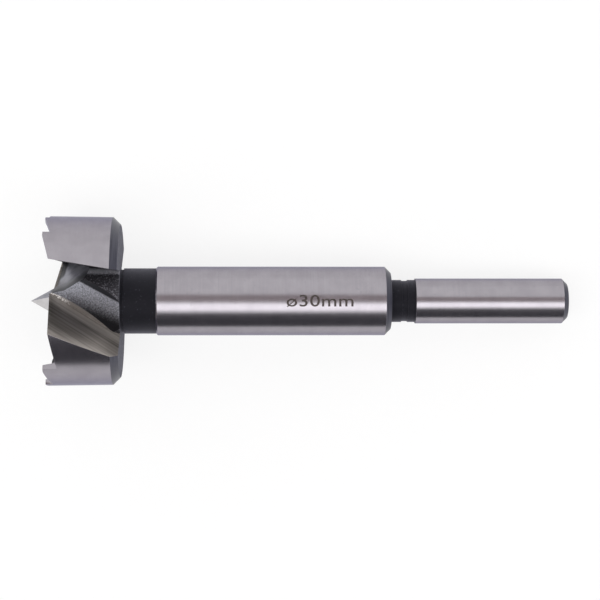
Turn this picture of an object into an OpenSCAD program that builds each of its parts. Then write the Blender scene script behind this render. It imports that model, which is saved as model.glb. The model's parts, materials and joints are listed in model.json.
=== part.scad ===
// Forstner bit: a toothed cutting head on a turned shank, all one piece of tool steel.
// The bit is drawn on its own axis, tooth tips at zero and the shank upwards, and then
// laid down as it rests on a bench: on the two sides of one throat and on the end of the shank.

/* [Head] */
// Cutting diameter of the head, across the tips of the rim teeth
head_d = 30; // [26:0.5:40]
// Length of the head, from the tooth tips to its back face
head_l = 13; // [11:0.5:16]
// Clearance taper of the head's side, in degrees
head_taper = 0.7; // [0.2:0.1:1.5]
// Chamfer round the back of the head
back_chamfer = 1.3; // [0.5:0.1:2]
// Wall of the toothed rim, round the hollow in the front
rim_wall = 2.2; // [1.6:0.1:3]
// Wall of the rim at the tooth tips, where the hollow flares
rim_edge = 0.9; // [0.6:0.1:1.4]

/* [Rim teeth] */
// Saw teeth behind each lip
tooth_count = 4; // [3:1:4]
// Angle from a lip to its first tooth face, and from each face to the next
tooth_pitch = 25.2; // [23:0.2:25.6]
// Depth of the gullet in front of a tooth
tooth_depth = 1.4; // [0.8:0.1:2]
// Angle of the flat land at the tip of a tooth
tooth_land = 5; // [2:0.5:8]

/* [Lips] */
// How far the lips lie behind the tooth tips, at the axis
lip_setback = 0.4; // [0.2:0.1:1]
// How much the lips fall back towards the rim, in degrees
lip_droop = 3; // [0:0.5:5]
// Thickness of the web between the two lips
web = 3; // [2.2:0.1:3.6]
// Rake of the ground face below each lip, in degrees from the axis
rake_angle = 24; // [18:1:26]
// Relief of the ground land behind each lip, in degrees
relief_angle = 10; // [8:1:15]
// Width of that land
land_w = 2; // [1.4:0.1:2.6]
// Slope of the heel that falls away behind the land, in degrees
heel_angle = 50; // [40:1:55]

/* [Throats] */
// Angle of the gap in the rim, ahead of each lip
throat_angle = 56; // [50:1:58]
// Diameter of the round hub between the throats
hub_d = 12.4; // [12:0.1:14]
// Ramp of the facet that opens the throat across the hub, in degrees from the axis
facet_ramp = 25; // [20:1:28]

/* [Centre point] */
// Length of the point ahead of the tooth tips
point_l = 2.9; // [2:0.1:4]
// Angle between opposite edges of the point, in degrees
point_angle = 61; // [50:1:70]

/* [Shank] */
// Diameter of the dark neck behind the head
neck_d = 11.6; // [10:0.1:12]
// Length of the neck
neck_l = 6.3; // [4:0.1:10]
// Diameter of the ground body
body_d = 12.2; // [12:0.1:14]
// Length of the body
body_l = 41.5; // [30:0.5:60]
// Chamfer at the back of the body
body_chamfer = 1.05; // [0.4:0.05:1.5]
// Diameter of the collar that the body steps down to
collar_d = 7.5; // [7.4:0.1:7.9]
// Length of the collar, up to the relief groove in it
collar_l = 1.9; // [0.8:0.1:3]
// Diameter of the relief groove
relief_d = 7.2; // [6.6:0.1:7.3]
// Length of the relief groove
relief_l = 1.1; // [0.6:0.1:2]
// Length of the collar between that groove and the shank
collar_back_l = 1.4; // [0.8:0.1:3]
// Diameter of the shank, as a drill chuck grips it
shank_d = 8; // [8:0.5:10]
// Length of the shank
shank_l = 27.1; // [20:0.1:45]
// Chamfer at the end of the shank
shank_chamfer = 0.9; // [0.4:0.1:1.5]

/* [Hidden] */
$fn = 96;

lips = 2;
lip_turn = 360 / lips;
head_r = head_d / 2;
hollow_r = head_r - rim_wall;
// Undercut where the neck leaves the head, and the small break at the front of the body
groove_w = 0.6;
groove_depth = 0.25;
groove_r = neck_d / 2 - groove_depth;
// The facet on the hub runs out just clear of that undercut
facet_clear = 0.05;
body_break = 0.25;

// Stations along the axis
neck_end = head_l + neck_l;
body_end = neck_end + body_l;
collar_end = body_end + collar_l;
relief_end = collar_end + relief_l;
shank_start = relief_end + collar_back_l;
total_end = shank_start + shank_l;

// Way that a throat's trailing wall faces: turned from the lip, and leaning back
trail_facing = 63.7;
trail_pitch = -9.5;
// Depth in which the flared hollow narrows to the full wall of the rim
flare_l = 6;

// Longer than the head in every direction, for the sides of the cuts
reach = 4 * head_d;
// How far a cut runs past the surface that it opens
past = 1;

// How the bit lies. Its feet are the lip's outer corner and the back corner of the rim, on either side
// of the lower throat, and the edge at the end of the shank. Angles are turned from the lip.
lip_fall = head_r * tan(lip_droop) / (1 - tan(relief_angle) * tan(rake_angle));
lip_foot_z = lip_setback + lip_fall;
lip_foot_r = side_r(lip_foot_z);
lip_foot_angle = asin((lip_fall * tan(rake_angle) - web / 2) / lip_foot_r);
rim_foot_z = head_l - back_chamfer;
rim_foot_r = side_r(rim_foot_z);
rim_foot_angle = trail_facing - acos(trail_offset(rim_foot_z) / rim_foot_r);
shank_foot_z = total_end - shank_chamfer;
shank_r = shank_d / 2;
lip_span = shank_foot_z - lip_foot_z;
rim_span = shank_foot_z - rim_foot_z;
// The bench touches all three feet when balance, turned to the side that is down, equals the drop
balance = rim_span * polar(lip_foot_r, lip_foot_angle) - lip_span * polar(rim_foot_r, rim_foot_angle);
drop = shank_r * (lip_foot_z - rim_foot_z);
down_angle = atan2(balance[1], balance[0]) - acos(drop / norm(balance));
rest_tilt = atan2(lip_foot_r * cos(lip_foot_angle - down_angle) - shank_r, lip_span);
// The origin is on the bench, below the middle of the bit's length
rest_low_x = -point_l * cos(rest_tilt);
rest_high_x = total_end * cos(rest_tilt) + (shank_r - shank_chamfer) * sin(rest_tilt);
rest_lift = shank_foot_z * sin(rest_tilt) + shank_r * cos(rest_tilt);

// Radius of the head's tapered side at a height
function side_r(z) = head_r - z * tan(head_taper);
// Distance from the axis to a throat's trailing wall at a height, along the way that the wall faces
function trail_offset(z) = head_r * cos(throat_angle + trail_facing) - z * tan(trail_pitch);
// A point on the cross-section, at an angle from the lip
function polar(r, angle) = [r * cos(angle), r * sin(angle)];
function at_height(p, z) = [p[0], p[1], z];

// Everything on the far side of a plane through p, seen along the way that it faces
module beyond(p, facing, pitch) {
    translate(p)
        rotate([0, -pitch, facing])
            translate([0, -reach / 2, -reach / 2]) cube(reach);
}

// A slice of the head between two angles, from the front to the given height
module sector(from, to) {
    middle = (from + to) / 2;
    translate([0, 0, -reach / 2])
        linear_extrude(reach)
            polygon([[0, 0], polar(reach, from), polar(reach, middle), polar(reach, to)]);
}

module head_blank() {
    chamfer_z = head_l - back_chamfer;
    chamfer_r = side_r(chamfer_z);
    rotate_extrude()
        polygon([
            [0, 0],
            [head_r, 0],
            [chamfer_r, chamfer_z],
            [chamfer_r - back_chamfer, head_l],
            [0, head_l]
        ]);
}

// Everything in front of a ground slope through p, which falls back towards the rim and behind the lip
module ahead_of_slope(p, behind) {
    fall = [tan(lip_droop), tan(behind)];
    beyond(p, atan2(fall[1], fall[0]), atan(norm(fall)) - 90);
}

// The flared hollow inside the toothed rim
module hollow() {
    rotate_extrude()
        polygon([
            [0, -past],
            [head_r - rim_edge, -past],
            [head_r - rim_edge, 0],
            [hollow_r, flare_l],
            [hollow_r, head_l],
            [0, head_l]
        ]);
}

// Front of the ground face below a lip: open ahead of the rake
module ahead_of_rake() {
    beyond([0, -web / 2, lip_setback], -90, rake_angle);
}

// Clear of the end of the rim that trails behind the throat
module ahead_of_trailing_wall() {
    beyond(at_height(polar(head_r, -throat_angle), 0), trail_facing, trail_pitch);
}

// The chip throat ahead of one lip, round the hub, open at the side and through the back of the head
module throat() {
    intersection() {
        ahead_of_rake();
        ahead_of_trailing_wall();
        union() {
            difference() {
                beyond([0, 0, 0], -throat_angle / 2, 0);
                translate([0, 0, -past]) cylinder(d = hub_d, h = head_l + 2 * past);
            }
            beyond([groove_r + facet_clear, 0, head_l], 0, -facet_ramp);
        }
    }
}

// The heel behind the other lip, which falls into the same throat inside the rim
module heel_pocket() {
    heel_start = [0, land_w - web / 2, lip_setback + land_w * tan(relief_angle)];
    intersection() {
        ahead_of_rake();
        ahead_of_trailing_wall();
        rotate(lip_turn) ahead_of_slope(heel_start, heel_angle);
        hollow();
    }
}

// The ground land behind one lip, across the hollow and across the rim to the first tooth
module front_relief() {
    side = web / 2 + past;
    intersection() {
        ahead_of_slope([0, -web / 2, lip_setback], relief_angle);
        union() {
            hollow();
            sector(-tooth_pitch, tooth_pitch);
        }
        translate([0, 0, -reach / 2])
            linear_extrude(reach)
                polygon([
                    [0, -side],
                    [reach, -side],
                    [reach, reach],
                    [-reach, reach],
                    [-reach, side],
                    [0, side]
                ]);
    }
}

// The ground notch in front of the tooth face at the given angle
module gullet(angle) {
    run = head_r * tan(tooth_pitch - tooth_land);
    rotate(angle)
        translate([hollow_r - past, 0, 0])
            rotate([90, 0, 90])
                linear_extrude(rim_wall + 2 * past)
                    polygon([[0, -past], [0, tooth_depth], [-run, 0], [-run, -past]]);
}

module centre_point() {
    height = point_l + head_l / 4;
    translate([0, 0, -point_l])
        rotate(45)
            cylinder(r1 = 0, r2 = height * tan(point_angle / 2), h = height, $fn = 4);
}

// The blank with its front ground: lands, heels and teeth
module ground_front() {
    difference() {
        head_blank();
        for (lip = [0 : lips - 1])
            rotate(lip * lip_turn) {
                heel_pocket();
                front_relief();
                for (tooth = [1 : tooth_count])
                    gullet((tooth + 1) * tooth_pitch);
            }
    }
}

module head() {
    difference() {
        union() {
            ground_front();
            centre_point();
        }
        for (lip = [0 : lips - 1])
            rotate(lip * lip_turn) throat();
    }
}

module shank() {
    neck_r = neck_d / 2;
    body_r = body_d / 2;
    rotate_extrude()
        polygon([
            [0, head_l - past],
            [groove_r - past, head_l - past],
            [groove_r, head_l],
            [groove_r, head_l + groove_w],
            [neck_r, head_l + groove_w],
            [neck_r, neck_end],
            [body_r - body_break, neck_end],
            [body_r, neck_end + body_break],
            [body_r, body_end - body_chamfer],
            [body_r - body_chamfer, body_end],
            [collar_d / 2, body_end],
            [collar_d / 2, collar_end],
            [relief_d / 2, collar_end],
            [relief_d / 2, relief_end],
            [collar_d / 2, relief_end],
            [collar_d / 2, shank_start],
            [shank_r, shank_start],
            [shank_r, total_end - shank_chamfer],
            [shank_r - shank_chamfer, total_end],
            [0, total_end]
        ]);
}

module forstner_bit() {
    color("silver")
        translate([-(rest_low_x + rest_high_x) / 2, 0, rest_lift])
            rotate([0, 90 + rest_tilt, 0])
                rotate(-down_angle) {
                    head();
                    shank();
                }
}

forstner_bit();
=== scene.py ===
"""Finishes and light for a forstner bit that lies on a pale bench, seen from above."""

import json
import math

import bmesh
import bpy
from mathutils import Matrix, Vector


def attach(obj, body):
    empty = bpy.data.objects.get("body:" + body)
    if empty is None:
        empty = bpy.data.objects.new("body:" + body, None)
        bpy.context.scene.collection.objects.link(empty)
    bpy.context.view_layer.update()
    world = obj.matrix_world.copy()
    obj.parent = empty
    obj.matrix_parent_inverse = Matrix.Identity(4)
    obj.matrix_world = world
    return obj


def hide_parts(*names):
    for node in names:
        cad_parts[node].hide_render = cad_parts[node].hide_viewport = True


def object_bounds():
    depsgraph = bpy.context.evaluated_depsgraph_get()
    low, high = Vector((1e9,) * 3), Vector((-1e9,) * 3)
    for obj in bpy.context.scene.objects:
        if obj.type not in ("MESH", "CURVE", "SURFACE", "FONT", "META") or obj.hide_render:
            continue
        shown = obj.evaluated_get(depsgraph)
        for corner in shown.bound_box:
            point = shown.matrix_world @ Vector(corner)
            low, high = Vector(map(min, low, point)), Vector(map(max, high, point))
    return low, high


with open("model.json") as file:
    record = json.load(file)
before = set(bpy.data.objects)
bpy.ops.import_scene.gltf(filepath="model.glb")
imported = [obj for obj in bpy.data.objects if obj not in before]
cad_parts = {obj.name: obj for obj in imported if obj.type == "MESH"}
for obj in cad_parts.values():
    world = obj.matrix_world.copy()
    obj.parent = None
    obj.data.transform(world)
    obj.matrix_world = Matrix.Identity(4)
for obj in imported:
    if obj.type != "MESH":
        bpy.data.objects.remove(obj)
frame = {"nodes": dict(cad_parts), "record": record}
cad_low, cad_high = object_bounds()

MM = 0.001
NODE = "forstner_bit"
BODY = "root"

# Sizes along the axis: the centre point, the head and its chamfer, and the steps behind the tooth tips
POINT_L = 2.9 * MM
HEAD_L = 13 * MM
CHAMFER_L = 1.3 * MM
NECK_END = 19.3 * MM
BODY_END = 60.8 * MM
SHANK_START = 65.2 * MM

# Sizes across the axis: the hub, a facet where it meets the back of the head, and the body
HUB_R = 6.2 * MM
FACET_R = 5.6 * MM
BODY_R = 6.1 * MM

# Cutting edge of a lip: ahead of the bit's middle, and behind the tooth tips
LIP_AHEAD = 1.5 * MM
LIP_SETBACK = 0.4 * MM

# Ground planes of the head, in degrees: a lip and its heel, a facet, a throat's wall, and the point
RAKE = 24
LIP_DROOP = 3
HEEL = 50
FACET_RAMP = 25
TRAIL_FACING = 63.7
TRAIL_PITCH = -9.5
POINT_LEAN = -22.6

# Lower lip, turned from straight down, and the way up in the picture, turned from a lip
LIP_FROM_DOWN = 20.48
LIP_TO_VIEW = 63.7

# The bit's own axes: along the shank, across it, and below it
shank = next(mount for mount in frame["record"]["mounts"] if mount["name"] == "shank")
along = Vector(shank["axis"]).normalized()
shank_middle = Vector(shank["pos_m"])
point_tip = shank_middle + along * ((cad_low.x - shank_middle.x) / along.x)
tooth_tips = point_tip + along * POINT_L
across = Vector((0, 1, 0))
below = across.cross(along)


def outward_at(angle):
    """Direction across the bit, at an angle in degrees from the lower lip."""
    from_down = math.radians(angle + LIP_FROM_DOWN)
    return below * math.cos(from_down) + across * math.sin(from_down)


def cut_face(facing, pitch):
    """Outward normal of a cut face: its facing from the lower lip, and its lean, in degrees."""
    lean = math.radians(pitch)
    return outward_at(facing) * math.cos(lean) + along * math.sin(lean)


def rake_face(side):
    """Outward normal of the rake of the lip on a side, an angle in degrees from the lower lip."""
    return cut_face(side - 90, RAKE)


def facet_face(side):
    """Outward normal of the facet on a side."""
    return cut_face(side, -FACET_RAMP)


def heel_face(side):
    """Outward normal of the heel behind the lip on a side, which also falls towards the rim."""
    droop = outward_at(side) * math.tan(math.radians(LIP_DROOP))
    fall = outward_at(side + 90) * math.tan(math.radians(HEEL))
    return (droop + fall - along).normalized()


def facet_root(side):
    """The point where the facet on a side meets the back of the head."""
    return tooth_tips + outward_at(side) * FACET_R + along * HEAD_L


def lip_edge(side):
    """A point on the cutting edge of the lip on a side."""
    return tooth_tips + outward_at(side - 90) * LIP_AHEAD + along * LIP_SETBACK


view_up = outward_at(LIP_TO_VIEW)
view_near = outward_at(LIP_TO_VIEW + 90)


class Wire:
    """A shader socket that takes part in arithmetic. Each operator adds a Math node."""

    def __init__(self, tree, socket=None):
        self.tree = tree
        self.socket = socket

    def node(self, kind, settings, inputs, output=0):
        """A new node of a type: its settings first, then the values or links of its sockets."""
        made = self.tree.nodes.new("ShaderNode" + kind)
        for name, value in settings.items():
            if name == "stops":
                set_stops(made.color_ramp, value)
            else:
                setattr(made, name, value)
        for name, value in inputs.items():
            if isinstance(value, Wire):
                self.tree.links.new(value.socket, made.inputs[name])
            else:
                made.inputs[name].default_value = value
        return Wire(self.tree, made.outputs[output])

    def combine(self, operation, first, second):
        return self.node("Math", {"operation": operation}, {0: first, 1: second})

    def __add__(self, other):
        return self.combine("ADD", self, other)

    def __radd__(self, other):
        return self.combine("ADD", other, self)

    def __sub__(self, other):
        return self.combine("SUBTRACT", self, other)

    def __rsub__(self, other):
        return self.combine("SUBTRACT", other, self)

    def __mul__(self, other):
        return self.combine("MULTIPLY", self, other)

    def __rmul__(self, other):
        return self.combine("MULTIPLY", other, self)


def set_stops(ramp, stops):
    """Gives a colour ramp its stops: pairs of a place and a colour."""
    while len(ramp.elements) < len(stops):
        ramp.elements.new(1.0)
    for element, (place, colour) in zip(ramp.elements, stops):
        element.position = place
        element.color = (*colour, 1.0)


class Finish(Wire):
    """A material with one principled shader, whose patterns follow the bit's own axes."""

    def __init__(self, name, **sockets):
        self.material = bpy.data.materials.new(name)
        self.material.use_nodes = True
        super().__init__(self.material.node_tree)
        self.shader = self.tree.nodes["Principled BSDF"]
        for socket, value in sockets.items():
            self.shader.inputs[socket.replace("_", " ")].default_value = value

    def feed(self, socket, wire):
        """Links a value to one of the shader's own sockets."""
        self.tree.links.new(wire.socket, self.shader.inputs[socket])

    def distance(self, way, start):
        """Distance from a point along a direction, in millimetres."""
        place = self.node("TexCoord", {}, {}, "Object")
        reach = self.node("VectorMath", {"operation": "DOT_PRODUCT"}, {0: place, 1: way / MM}, "Value")
        return reach - start.dot(way) / MM

    def grain(self, *ways, detail=3.0, roughness=0.55):
        """Noise with its own number of grains per millimetre along each of three directions."""
        sides = [self.distance(way, tooth_tips) * density for way, density in ways]
        vector = self.node("CombineXYZ", {}, dict(enumerate(sides)))
        return self.node("TexNoise", {}, {
            "Vector": vector, "Scale": 1.0, "Detail": detail, "Roughness": roughness})

    def even_grain(self, density, **settings):
        """Noise with the same number of grains per millimetre in every direction."""
        return self.grain((along, density), (across, density), (below, density), **settings)

    def step(self, wire, start, end):
        """0 before the start, 1 after the end, and a smooth rise between them."""
        return self.node("MapRange", {"interpolation_type": "SMOOTHSTEP"}, {
            "Value": wire, "From Min": start, "From Max": end})

    def shades(self, wire, *colours):
        """Goes through the given colours as a value rises from 0 to 1."""
        stops = [(number / (len(colours) - 1), colour) for number, colour in enumerate(colours)]
        return self.node("ValToRGB", {"stops": stops}, {"Fac": wire})

    def mix(self, share, first, second):
        """Goes from one colour to another as a value rises from 0 to 1."""
        return self.node("Mix", {"data_type": "RGBA"}, {0: share, 6: first, 7: second}, 2)

    def tint(self, wire, *colours):
        """Colours the surface by a value from 0 to 1."""
        self.feed("Base Color", self.shades(wire, *colours))

    def bump(self, height, depth):
        """Raises the surface by a value from 0 to 1, over a depth in metres."""
        self.feed("Normal", self.node("Bump", {}, {"Height": height, "Distance": depth}))


# Spans of noise that several finishes share: soft clouds, and the crests of pitted scale
CLOUDS = (0.3, 0.7)
SPECKS = (0.5, 0.72)
# Depths of the bump of grinding lines, of turned or streaked steel, and of scale
FINE_DEPTH = 0.0004 * MM
LINE_DEPTH = 0.004 * MM
SCALE_DEPTH = 0.02 * MM


def ground_steel():
    """Bright steel with fine grinding lines round the axis."""
    finish = Finish("ground_steel", Metallic=1.0, Specular_Tint=(0.55, 0.55, 0.64, 1.0))
    lines = finish.grain((along, 7.0), (across, 0.1), (below, 0.1), detail=2.0)
    cloud = finish.even_grain(0.35)
    pits = finish.step(finish.even_grain(1.7, detail=0.0), 0.77, 0.8)
    sheen = finish.step(lines * 0.35 + cloud * 0.65, *CLOUDS)
    finish.tint(sheen - pits, (0.33, 0.31, 0.338), (0.372, 0.351, 0.38))
    finish.feed("Roughness", 0.205 + lines * 0.07)
    finish.bump(lines, FINE_DEPTH)
    return finish.material


def black_oxide():
    """Dull black of the turned neck and collar."""
    finish = Finish("black_oxide", Specular_IOR_Level=0.18, Specular_Tint=(0.85, 0.84, 1.0, 1.0),
                    Sheen_Weight=0.3, Sheen_Roughness=0.5, Sheen_Tint=(0.82, 0.81, 1.0, 1.0))
    lines = finish.grain((along, 5.0), (across, 0.3), (below, 0.3))
    specks = finish.step(finish.even_grain(3.0), 0.6, 0.7)
    finish.tint(lines * 0.5 + specks * 0.5,
                (0.001, 0.001, 0.0015), (0.003, 0.003, 0.0045), (0.055, 0.055, 0.07))
    finish.feed("Roughness", 0.5 + lines * 0.2)
    finish.bump(lines, LINE_DEPTH)
    return finish.material


def dark_painted_chamfer():
    """Turned chamfers, their steel painted dark grey as a painted reflection, with turning lines."""
    finish = Finish("dark_painted_chamfer", Metallic=1.0)
    lines = finish.grain((along, 5.0), (across, 0.15), (below, 0.15))
    # Painted reflection: the dark grey stands for dark surroundings that the chamfers mirror
    finish.tint(finish.step(lines, 0.25, 0.75), (0.05, 0.05, 0.066), (0.092, 0.092, 0.116))
    finish.feed("Roughness", 0.3 + lines * 0.15)
    return finish.material


def back_grey():
    """Dull grey scale on the flat back of the head."""
    finish = Finish("back_grey", Roughness=0.8, Specular_IOR_Level=0.1)
    cloud = finish.even_grain(2.0)
    finish.tint(finish.step(cloud, *CLOUDS), (0.1, 0.1, 0.122), (0.165, 0.165, 0.195))
    return finish.material


def black_scale(finish):
    """Roughens a finish as pitted scale. Gives its pits, and the specks on their crests."""
    pits = finish.even_grain(3.2, roughness=0.65)
    specks = finish.step(pits, *SPECKS)
    finish.feed("Roughness", 0.6 - specks * 0.15)
    finish.bump(pits, SCALE_DEPTH)
    return pits, specks


def throat_black():
    """Black scale of the throat walls, with a few bare specks."""
    finish = Finish("throat_black", Metallic=0.7)
    _, specks = black_scale(finish)
    finish.tint(specks, (0.036, 0.034, 0.041), (0.15, 0.147, 0.162))
    return finish.material


# Painted highlight on the hub: its facing in degrees, its span in square millimetres, and how ragged it
# is
FOOT_FACING = 94
FOOT_HIGHLIGHT = (37.0, 39.0)
FOOT_RAGGED = 1.5


def hub_black():
    """Black scale of the hub, with a painted highlight along the foot of each throat's wall."""
    finish = Finish("hub_black")
    pits, specks = black_scale(finish)
    beside = finish.distance(outward_at(FOOT_FACING), tooth_tips)
    # Painted highlight: the scale goes paler and less metallic in a strip along each wall's foot
    strip_share = finish.step(beside * beside + pits * FOOT_RAGGED, *FOOT_HIGHLIGHT)
    finish.tint(strip_share * 0.6 + specks * 0.4, (0.045, 0.043, 0.051), (0.3, 0.3, 0.335), (0.6, 0.6, 0.65))
    finish.feed("Metallic", 0.7 - strip_share * 0.6)
    return finish.material


def point_steel():
    """Bright faces of the centre point."""
    finish = Finish("point_steel", Metallic=1.0)
    cloud = finish.even_grain(1.2)
    finish.tint(finish.step(cloud, *CLOUDS), (0.5, 0.485, 0.49), (0.56, 0.545, 0.55))
    finish.feed("Roughness", 0.25 + cloud * 0.1)
    return finish.material


# Painted shade by a facet's rake, and the facet's black open edge: spans in millimetres, slants, how
# ragged they are
RAKE_SHADE = (-0.9, 2.0)
RAKE_SHADE_SLANT = 0.25
RAKE_SHADE_RAGGED = 1.2
OPEN_EDGE = (7.3, 7.7)
OPEN_SLANT = 0.37
OPEN_RAGGED = 0.6
# Crest between a facet and its rake: its rubbed strip, its bow and its painted glints, in millimetres
RUBBED_CREST = (0.85, 1.05)
CREST_RAGGED = 0.2
CREST_MIDDLE = 5.5
CREST_BOW = 0.16
CREST_GLINTS = (2.6, 4.6)


def speckled_facet(side):
    """Blasted facet on the hub, with painted shade by the rake, black at its open edge, its bowed crest
    rubbed bare with painted glints.
    """
    finish = Finish("speckled_facet_%d" % side, Metallic=0.85)
    pits = finish.even_grain(3.6, roughness=0.7)
    ahead = finish.distance(rake_face(side), lip_edge(side))
    behind = finish.distance(along, tooth_tips)
    beside = finish.distance(outward_at(side - 90), tooth_tips)
    open_edge = finish.step(beside + behind * OPEN_SLANT + pits * OPEN_RAGGED, *OPEN_EDGE)
    # Painted shade: the facet darkens to black towards its rake, in the valley between them
    past_rake_shade = finish.step(ahead - behind * RAKE_SHADE_SLANT + pits * RAKE_SHADE_RAGGED, *RAKE_SHADE)
    pale_scale = past_rake_shade * (1.0 - open_edge)
    bright = finish.step(pits, 0.3, 0.72)
    speckle_and_shade = finish.shades(pale_scale * (0.35 + bright * 0.65), (0.02, 0.02, 0.024), (0.4, 0.405, 0.455))
    bow = (behind - CREST_MIDDLE) * CREST_BOW
    strip_share = 1.0 - finish.step(ahead + bow * bow + pits * CREST_RAGGED, *RUBBED_CREST)
    # Painted highlight: near-white glints on the crest near the lip
    glint = (1.0 - finish.step(behind, *CREST_GLINTS)) * finish.step(pits, 0.4, 0.6)
    crest = finish.shades(glint, (0.25, 0.23, 0.215), (0.95, 0.93, 0.92))
    finish.feed("Base Color", finish.mix(strip_share, speckle_and_shade, crest))
    finish.feed("Roughness", 0.55 - bright * 0.15)
    finish.bump(pits, SCALE_DEPTH)
    return finish.material


# Painted highlight strip and paler part of a rake, in millimetres below its crest, and the slant of the
# second
CREST_HIGHLIGHT = (1.8, 3.8)
PALE_PART = (9.5, 15.5)
PALE_SLANT = 0.5


def rake_steel(side):
    """Browned rake of a lip, streaked along its crest, with a painted highlight beside it, and paler
    towards the rim.
    """
    finish = Finish("rake_steel_%d" % side)
    rake = rake_face(side)
    streak_way = rake.cross(facet_face(side)).normalized()
    streaks = finish.grain((streak_way, 0.05), (streak_way.cross(rake), 1.3), (rake, 0.1), detail=2.0)
    below_crest = finish.distance(facet_face(side), facet_root(side))
    behind = finish.distance(along, tooth_tips)
    # Painted highlight: a paler, less metallic strip just below the crest
    highlight_strip = 1.0 - finish.step(below_crest, *CREST_HIGHLIGHT)
    pale = finish.step(below_crest + behind * PALE_SLANT, *PALE_PART)
    shade = finish.step(streaks, 0.15, 0.85) * 0.7 + highlight_strip * 0.3 + pale * 0.6
    finish.tint(shade, (0.115, 0.102, 0.092), (0.49, 0.45, 0.42))
    finish.feed("Metallic", 1.0 - highlight_strip * 0.4)
    finish.feed("Roughness", 0.42 + streaks * 0.15)
    finish.bump(streaks, LINE_DEPTH)
    return finish.material


# Black part of a heel by a facet, in millimetres from the facet's plane and behind the tooth tips
FACET_SHADE = (-5.5, -0.5)
SHADE_BEHIND = (0.2, 0.9)
# Black part of a heel by its land, in square millimetres from the axis, across the lips and along them
LAND_SHADE = (2.6, 4.4)
SHADE_OUTWARD = (22.0, 55.0)


def heel_steel(side):
    """Smooth dull heel behind a lip, black beside the lip's land and beside the other lip's facet."""
    finish = Finish("heel_steel_%d" % side, Metallic=0.6)
    cloud = finish.even_grain(0.6)
    other = side + 180
    from_facet = finish.distance(facet_face(other), facet_root(other))
    behind = finish.distance(along, tooth_tips)
    across_lips = finish.distance(outward_at(90), tooth_tips)
    along_lips = finish.distance(outward_at(0), tooth_tips)
    by_facet = finish.step(from_facet, *FACET_SHADE) * finish.step(behind, *SHADE_BEHIND)
    near_land = 1.0 - finish.step(across_lips * across_lips, *LAND_SHADE)
    by_land = near_land * finish.step(along_lips * along_lips, *SHADE_OUTWARD)
    clouded = 0.5 + finish.step(cloud, *CLOUDS) * 0.5
    shade = clouded * (1.0 - by_land) * (1.0 - by_facet * 0.9)
    finish.tint(shade, (0.02, 0.02, 0.024), (0.21, 0.21, 0.245), (0.31, 0.31, 0.35))
    finish.feed("Roughness", 0.35 + cloud * 0.15)
    return finish.material


def etched_steel():
    """Grey-brown of the mark burnt into the ground body."""
    finish = Finish("etched_steel", Metallic=0.5, Roughness=0.55)
    finish.tint(finish.even_grain(3.0), (0.036, 0.027, 0.025), (0.085, 0.07, 0.066))
    return finish.material


# Numbers of the finishes. Those of a lip are found by its side, in degrees from the lower lip
GROUND, OXIDE, CHAMFER, HUB, THROAT, POINT, BACK = range(7)
RAKES = {0: 7, 180: 8}
FACETS = {0: 9, 180: 10}
HEELS = {0: 11, 180: 12}
TURNED = (GROUND, OXIDE, CHAMFER, HUB)


def bit_finishes():
    """The materials of the bit, in the order of their numbers."""
    turned = [ground_steel(), black_oxide(), dark_painted_chamfer(), hub_black()]
    others = [throat_black(), point_steel(), back_grey()]
    rakes = [rake_steel(side) for side in RAKES]
    facets = [speckled_facet(side) for side in FACETS]
    heels = [heel_steel(side) for side in HEELS]
    return turned + others + rakes + facets + heels


# How faces are told apart: their facing, their lean, and how near they lie to a step or to the hub
SAME_WAY = math.cos(math.radians(1.2))
CHAMFER_LEAN = 0.3
FLAT_LEAN = 0.95
INWARD = -0.5
NEAR_STEP = 0.01 * MM
NEAR_HUB = 0.3 * MM


def finish_of(face):
    """Number of a face's finish, from its place and the way that it faces."""
    place = face.calc_center_median() - tooth_tips
    height = place.dot(along)
    from_axis = place - along * height
    lean = face.normal.dot(along)

    def faces(way):
        return face.normal.dot(way) > SAME_WAY

    if height > HEAD_L - CHAMFER_L and lean > CHAMFER_LEAN:
        return BACK if height < HEAD_L + NEAR_STEP and lean > FLAT_LEAN else CHAMFER
    if height > HEAD_L + NEAR_STEP:
        in_neck = height < NECK_END + NEAR_STEP
        in_collar = BODY_END - NEAR_STEP < height < SHANK_START + NEAR_STEP
        return OXIDE if in_neck or in_collar else GROUND
    for side in RAKES:
        if faces(rake_face(side)):
            return RAKES[side]
        if faces(facet_face(side)):
            return FACETS[side]
        if faces(heel_face(side)) or faces(cut_face(side + 90, POINT_LEAN)):
            return HEELS[side]
        if faces(cut_face(side, POINT_LEAN)):
            return POINT
        if faces(cut_face(side + TRAIL_FACING, TRAIL_PITCH)):
            return THROAT
    if abs(from_axis.length - HUB_R) < NEAR_HUB and abs(lean) < CHAMFER_LEAN:
        return HUB
    return THROAT if face.normal.dot(from_axis.normalized()) < INWARD else GROUND


# Points that are one, faces that are one plane, and edges that are too short to keep
SAME_POINT = 0.001 * MM
ONE_PLANE = math.radians(0.5)
SHORT_EDGE = 0.08 * MM
# Softened edges: their width, and the bends that count as edges or as smooth
EDGE_W = 0.1 * MM
EDGE_SEGMENTS = 2
SHARP_EDGE = math.radians(20)
SMOOTH_EDGE = math.radians(32)


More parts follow.
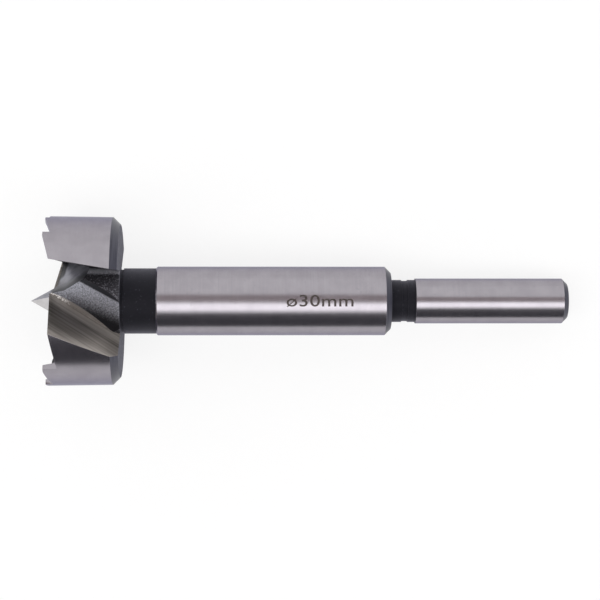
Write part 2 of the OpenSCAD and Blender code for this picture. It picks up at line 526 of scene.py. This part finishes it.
def dressed_bit():
    """The bit with softened edges, each ground or blackened face in its own finish."""
    mesh = bpy.data.meshes.new("dressed_bit")
    shape = bmesh.new()
    shape.from_mesh(frame["nodes"][NODE].data)
    bmesh.ops.remove_doubles(shape, verts=shape.verts, dist=SAME_POINT)
    bmesh.ops.dissolve_limit(shape, angle_limit=ONE_PLANE, verts=shape.verts, edges=shape.edges)
    bmesh.ops.dissolve_degenerate(shape, dist=SHORT_EDGE, edges=shape.edges)
    shape.normal_update()
    for face in shape.faces:
        face.material_index = finish_of(face)
        face.smooth = True
    shape.to_mesh(mesh)
    shape.free()
    for material in bit_finishes():
        mesh.materials.append(material)
    piece = link("dressed_bit", mesh)
    bevel = piece.modifiers.new("softened_edges", "BEVEL")
    bevel.width = EDGE_W
    bevel.segments = EDGE_SEGMENTS
    bevel.limit_method = "ANGLE"
    bevel.angle_limit = SHARP_EDGE
    piece.data = plain_mesh(piece)
    piece.modifiers.clear()
    piece.data.set_sharp_from_angle(angle=SMOOTH_EDGE)
    piece.data.normals_split_custom_set(turned_normals(piece.data))
    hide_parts(NODE)
    ride(piece)


# Normals of turned faces: their bend at most, the lean of their sides, and their least outward part
TURNED_WAY = math.cos(math.radians(6.5))
STRAIGHT_LEAN = 0.06
HEAD_LEAN = math.sin(math.radians(0.7))
LEAST_LEVEL = 0.1


def turned_normals(mesh):
    """True normals at the corners of the turned faces. A zero leaves a corner as it is."""
    normals = [Vector((0, 0, 0))] * len(mesh.loops)
    for face in mesh.polygons:
        if face.material_index not in TURNED:
            continue
        lean = face.normal.dot(along)
        if abs(lean) < STRAIGHT_LEAN:
            lean = HEAD_LEAN if (face.center - tooth_tips).dot(along) < HEAD_L else 0.0
        level = math.sqrt(max(0.0, 1 - lean * lean))
        for corner in face.loop_indices:
            place = mesh.vertices[mesh.loops[corner].vertex_index].co - tooth_tips
            outward = (place - along * place.dot(along)).normalized()
            exact = outward * level + along * lean
            if exact.dot(face.normal) > TURNED_WAY and level > LEAST_LEVEL:
                normals[corner] = exact
    return normals


def plain_mesh(piece):
    """A piece with its modifiers, or a text, as a mesh."""
    graph = bpy.context.evaluated_depsgraph_get()
    return bpy.data.meshes.new_from_object(piece.evaluated_get(graph))


def link(name, data):
    """A new object in the scene, at the origin."""
    piece = bpy.data.objects.new(name, data)
    bpy.context.scene.collection.objects.link(piece)
    return piece


def ride(piece):
    """Gives a piece the body that it moves with."""
    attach(piece, BODY)


# Size mark on the body: its text, size, place behind the tooth tips, depth, bands, weight and spacing
MARK = "\u00f830mm"
MARK_H = 2.15 * MM
MARK_W = 11.7 * MM
MARK_MIDDLE = 48.05 * MM
MARK_DEPTH = 0.01 * MM
MARK_BANDS = 14
MARK_BOLD = 0.006
MARK_SPACING = 1.05


def size_mark():
    """The plain size mark, wrapped round the ground body."""
    curve = bpy.data.curves.new("size_mark", "FONT")
    curve.body = MARK
    curve.extrude = 1.0
    curve.offset = MARK_BOLD
    curve.space_character = MARK_SPACING
    letters = link("size_mark", curve)
    mesh = plain_mesh(letters)
    bpy.data.objects.remove(letters)
    shape = bmesh.new()
    shape.from_mesh(mesh)
    bmesh.ops.remove_doubles(shape, verts=shape.verts, dist=SAME_POINT)
    low_x, high_x = min(v.co.x for v in shape.verts), max(v.co.x for v in shape.verts)
    low_y, high_y = min(v.co.y for v in shape.verts), max(v.co.y for v in shape.verts)
    for band in range(1, MARK_BANDS):
        level = low_y + (high_y - low_y) * band / MARK_BANDS
        everything = shape.verts[:] + shape.edges[:] + shape.faces[:]
        bmesh.ops.bisect_plane(shape, geom=everything, plane_co=(0, level, 0), plane_no=(0, 1, 0))
    for vertex in shape.verts:
        height = MARK_MIDDLE + ((vertex.co.x - low_x) / (high_x - low_x) - 0.5) * MARK_W
        turn = ((vertex.co.y - low_y) / (high_y - low_y) - 0.5) * MARK_H / BODY_R
        radius = BODY_R + math.copysign(MARK_DEPTH, vertex.co.z)
        out = view_near * math.cos(turn) + view_up * math.sin(turn)
        vertex.co = tooth_tips + along * height + out * radius
    bmesh.ops.recalc_face_normals(shape, faces=shape.faces)
    shape.to_mesh(mesh)
    shape.free()
    mesh.materials.clear()
    mesh.materials.append(etched_steel())
    ride(link("size_mark", mesh))


# The picture: its camera, the point of the axis at its middle, and how far below its middle the axis lies
CAMERA_AWAY = 348 * MM
CAMERA_YAW = math.radians(2)
CAMERA_LENS = 117.45
CAMERA_NEAR = 10 * MM
PICTURE_MIDDLE = 44.75 * MM
PICTURE_DROP = 0.17 * MM


def picture_camera():
    """The camera of the picture, above the bit and turned a little along it."""
    right = along * math.cos(CAMERA_YAW) + view_near * math.sin(CAMERA_YAW)
    back = view_near * math.cos(CAMERA_YAW) - along * math.sin(CAMERA_YAW)
    place = tooth_tips + along * PICTURE_MIDDLE + back * CAMERA_AWAY + view_up * PICTURE_DROP
    data = bpy.data.cameras.new("picture_camera")
    data.lens = CAMERA_LENS
    data.clip_start = CAMERA_NEAR
    camera = link("picture_camera", data)
    turn = Matrix((right, view_up, back)).transposed()
    camera.matrix_world = Matrix.Translation(place) @ turn.to_4x4()
    bpy.context.scene.camera = camera


# The light tent, in metres: cards bent round the bench, between two angles in degrees from overhead
TENT_REACH = 1.2
TENT_LIGHT = 1.1
KEY_LENGTH = 2.4
KEY_ANGLES = (-26.5, -2.5)
KEY_LIGHT = 2.55
GAP_ANGLES = (2.5, 26.5)
GAP_COLOUR = (0.45, 0.39, 0.39)
FLAG_LENGTH = 1.2
FLAG_ANGLES = (-89, -34.5)
FLAG_COLOUR = (0.085, 0.085, 0.095)
CARD_STEPS = 12
# The bench: its size in metres, its colour, and the share of its white that takes no shadow
BENCH_SIZE = 6.0
BENCH_COLOUR = (0.95, 0.95, 0.95)
BENCH_GLOW = 0.8
SEEN_BY = ("Is Camera Ray", "Is Glossy Ray", "Is Transmission Ray")


def arc_card(name, angles, length, paint):
    """A long card of the tent, which the camera looks through."""
    shape = bmesh.new()
    rows = []
    for step in range(CARD_STEPS + 1):
        angle = math.radians(angles[0] + (angles[1] - angles[0]) * step / CARD_STEPS)
        side, height = TENT_REACH * math.sin(angle), TENT_REACH * math.cos(angle)
        rows.append([shape.verts.new((end * length / 2, side, height)) for end in (-1, 1)])
    for low, high in zip(rows, rows[1:]):
        shape.faces.new((low[0], low[1], high[1], high[0]))
    mesh = bpy.data.meshes.new(name)
    shape.to_mesh(mesh)
    shape.free()
    mesh.materials.append(paint.material)
    card = link(name, mesh)
    card.visible_camera = False


def card_paint(name, colour):
    """Flat paint with no gloss."""
    return Finish(name, Base_Color=(*colour, 1.0), Roughness=1.0, Specular_IOR_Level=0.0)


def bench():
    """A pale bench, white to the camera and in the steel, with a faint shadow of the bit on it."""
    paint = card_paint("pale_bench", BENCH_COLOUR)
    seen, *others = [paint.node("LightPath", {}, {}, ray) for ray in SEEN_BY]
    for ray in others:
        seen = seen + ray
    glow = paint.node("Emission", {}, {"Strength": 1.0})
    painted = Wire(paint.tree, paint.shader.outputs[0])
    mixed = paint.node("MixShader", {}, {0: seen * BENCH_GLOW, 1: painted, 2: glow})
    paint.tree.links.new(mixed.socket, paint.tree.nodes["Material Output"].inputs["Surface"])
    half = BENCH_SIZE / 2
    corners = [(-half, -half, 0), (half, -half, 0), (half, half, 0), (-half, half, 0)]
    mesh = bpy.data.meshes.new("bench")
    mesh.from_pydata(corners, [], [(0, 1, 2, 3)])
    mesh.materials.append(paint.material)
    link("bench", mesh)


def light_tent():
    """An even white tent, with a bright strip, a warm gap and a dark flag that the steel mirrors."""
    world = bpy.data.worlds.new("light_tent")
    world.use_nodes = True
    sky = world.node_tree.nodes["Background"]
    sky.inputs["Color"].default_value = (1, 1, 1, 1)
    sky.inputs["Strength"].default_value = TENT_LIGHT
    bpy.context.scene.world = world
    glow = Finish("key_glow", Base_Color=(0, 0, 0, 1), Emission_Color=(1, 1, 1, 1),
                  Emission_Strength=KEY_LIGHT)
    arc_card("key_strip", KEY_ANGLES, KEY_LENGTH, glow)
    arc_card("warm_gap", GAP_ANGLES, KEY_LENGTH, card_paint("gap_paint", GAP_COLOUR))
    arc_card("dark_flag", FLAG_ANGLES, FLAG_LENGTH, card_paint("flag_paint", FLAG_COLOUR))


dressed_bit()
size_mark()
bench()
light_tent()
picture_camera()
bpy.context.scene.view_settings.view_transform = "Standard"
